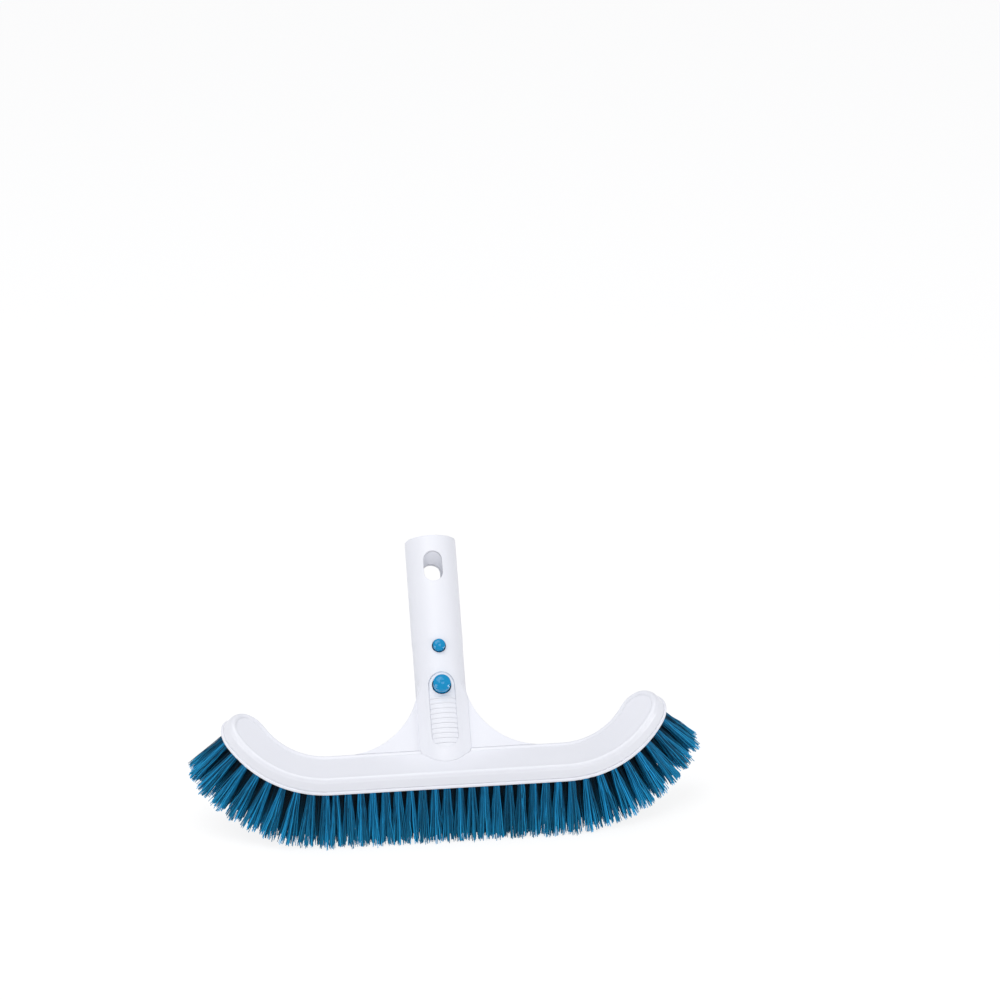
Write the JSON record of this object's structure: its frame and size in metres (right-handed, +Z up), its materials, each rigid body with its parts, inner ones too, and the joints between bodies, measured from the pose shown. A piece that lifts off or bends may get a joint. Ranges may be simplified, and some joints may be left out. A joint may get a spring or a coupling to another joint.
{
  "type": "pool wall brush",
  "caption": "Bowed wall brush head with dense bristles and a leaned tubular handle whose sprung clip locks into a pole.",
  "frame": {"origin": "centre of the handle's open end, where the pole slides on", "axes": "+X along the head, +Y to the back, +Z up with the bristles hanging down; the handle leans back 45 degrees towards +Y"},
  "size_m": [0.2922, 0.1311, 0.1407],
  "materials": {
    "white_plastic": "glossy moulded white plastic",
    "blue_plastic": "glossy moulded azure plastic",
    "bristle": "teal-blue nylon bristle",
    "steel": "stainless steel",
    "brass": "flat brass wire"
  },
  "bodies": {
    "brush": {"head_shell": "white_plastic", "handle": "white_plastic", "bristle_block": "white_plastic", "bristles_left_end": "bristle", "bristles_left_arm": "bristle", "bristles_left_bend": "bristle", "bristles_left_middle": "bristle", "bristles_middle": "bristle", "bristles_right_middle": "bristle", "bristles_right_bend": "bristle", "bristles_right_arm": "bristle", "bristles_right_end": "bristle", "tuft_anchors": "brass", "block_screws": "steel", "handle_screws": "steel", "clip_spring": "steel", "clip_seat": "white_plastic"},
    "clip": {"lock_pin": "blue_plastic", "release_button": "blue_plastic", "clip_tongue": "blue_plastic"}
  },
  "joints": [
    {"name": "clip_press", "type": "slide", "parent": "brush", "child": "clip", "axis": [0, 0.7071, -0.7071], "range_m": [0, 0.0035], "stiffness_N_per_m": 300, "deforming": ["clip_spring"]}
  ]
}
